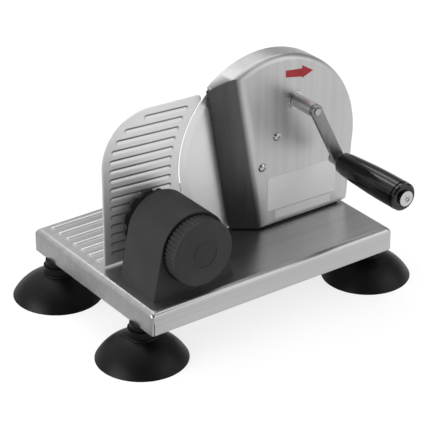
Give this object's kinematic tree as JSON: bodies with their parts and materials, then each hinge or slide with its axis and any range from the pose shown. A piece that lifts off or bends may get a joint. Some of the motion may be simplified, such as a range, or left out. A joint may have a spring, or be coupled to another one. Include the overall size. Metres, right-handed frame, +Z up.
{
  "type": "manual food slicer",
  "caption": "Hand cranked food slicer: round blade in a steel casing, fluted stop plate set by a dial, folded steel tray on suction cup feet.",
  "frame": {"origin": "middle of the footprint, on the table under the suction cups", "axes": "+X runs along the tray's long side from the dial towards the crank, -Y faces the person who turns the crank, +Z is up"},
  "size_m": [0.3202, 0.2518, 0.2155],
  "materials": {
    "tray_steel": "folded stainless sheet, polished on top and brushed on the sides",
    "casing_steel": "brushed stainless sheet",
    "plate_steel": "satin stainless sheet",
    "blade_steel": "ground and polished steel",
    "bright_steel": "polished and plated fasteners and sleeve",
    "shaft_steel": "turned steel",
    "bush_brass": "turned brass",
    "gear_nylon": "moulded pale nylon",
    "housing_plastic": "moulded black plastic with a fine grain",
    "grip_plastic": "polished black plastic",
    "foot_rubber": "moulded black rubber"
  },
  "bodies": {
    "base": {"tray": "tray_steel", "suction_cup_front_left": "foot_rubber", "suction_cup_front_right": "foot_rubber", "suction_cup_back_left": "foot_rubber", "suction_cup_back_right": "foot_rubber", "foot_studs": "shaft_steel", "foot_washers": "bright_steel", "foot_nuts": "shaft_steel", "casing": "casing_steel", "gear_plate": "housing_plastic", "casing_gasket": "foot_rubber", "casing_screws": "bright_steel", "casing_base_screws": "bright_steel", "casing_base_nuts": "shaft_steel", "plate_posts": "shaft_steel", "plate_screws": "bright_steel", "blade_bearing": "shaft_steel", "blade_bush": "bush_brass", "crank_bush": "bright_steel", "crank_rear_bush": "bush_brass", "adjuster_housing": "housing_plastic", "housing_back": "housing_plastic", "guide_bushes": "bush_brass", "housing_screws": "bright_steel", "dial_bush": "bush_brass"},
    "crank": {"crank_shaft": "shaft_steel", "crank_gear": "gear_nylon", "crank_washer": "gear_nylon", "crank_sleeve": "bright_steel", "crank_arm": "casing_steel", "handle_spindle": "shaft_steel", "handle_screw": "bright_steel"},
    "grip": {"handle_grip": "grip_plastic", "grip_ring": "grip_plastic"},
    "blade": {"blade": "blade_steel", "blade_hub": "shaft_steel", "blade_shaft": "shaft_steel", "blade_pinion": "shaft_steel", "blade_screws": "shaft_steel", "blade_washer": "gear_nylon"},
    "dial": {"dial_knob": "housing_plastic", "dial_spindle": "shaft_steel", "dial_screw": "bright_steel", "dial_cap": "housing_plastic", "dial_clip": "bright_steel"},
    "gauge": {"stop_plate": "plate_steel", "plate_carrier": "housing_plastic", "carrier_screws": "bright_steel", "guide_rods": "bright_steel", "lead_nut": "bush_brass"}
  },
  "joints": [
    {"name": "crank_spin", "type": "hinge", "parent": "base", "child": "crank", "pos_m": [0.06508, -0.0233, 0.17161], "axis": [0, 1, 0], "continuous": true},
    {"name": "grip_spin", "type": "hinge", "parent": "crank", "child": "grip", "pos_m": [0.09239, -0.0843, 0.11707], "axis": [0, 1, 0], "continuous": true},
    {"name": "blade_spin", "type": "hinge", "parent": "base", "child": "blade", "pos_m": [0.0468, 0.0157, 0.124], "axis": [0, 1, 0], "continuous": true},
    {"name": "dial_turn", "type": "hinge", "parent": "base", "child": "dial", "pos_m": [-0.0754, -0.0593, 0.0944], "axis": [0, 1, 0], "range_deg": [0, 300]},
    {"name": "plate_slide", "type": "slide", "parent": "base", "child": "gauge", "axis": [0, -1, 0], "range_m": [0, 0.013]}
  ],
  "couplings": [
    {"joint": "blade_spin", "follows": "crank_spin", "ratio": -1.8333},
    {"joint": "plate_slide", "follows": "dial_turn", "m_per_rad": 0.00248}
  ]
}
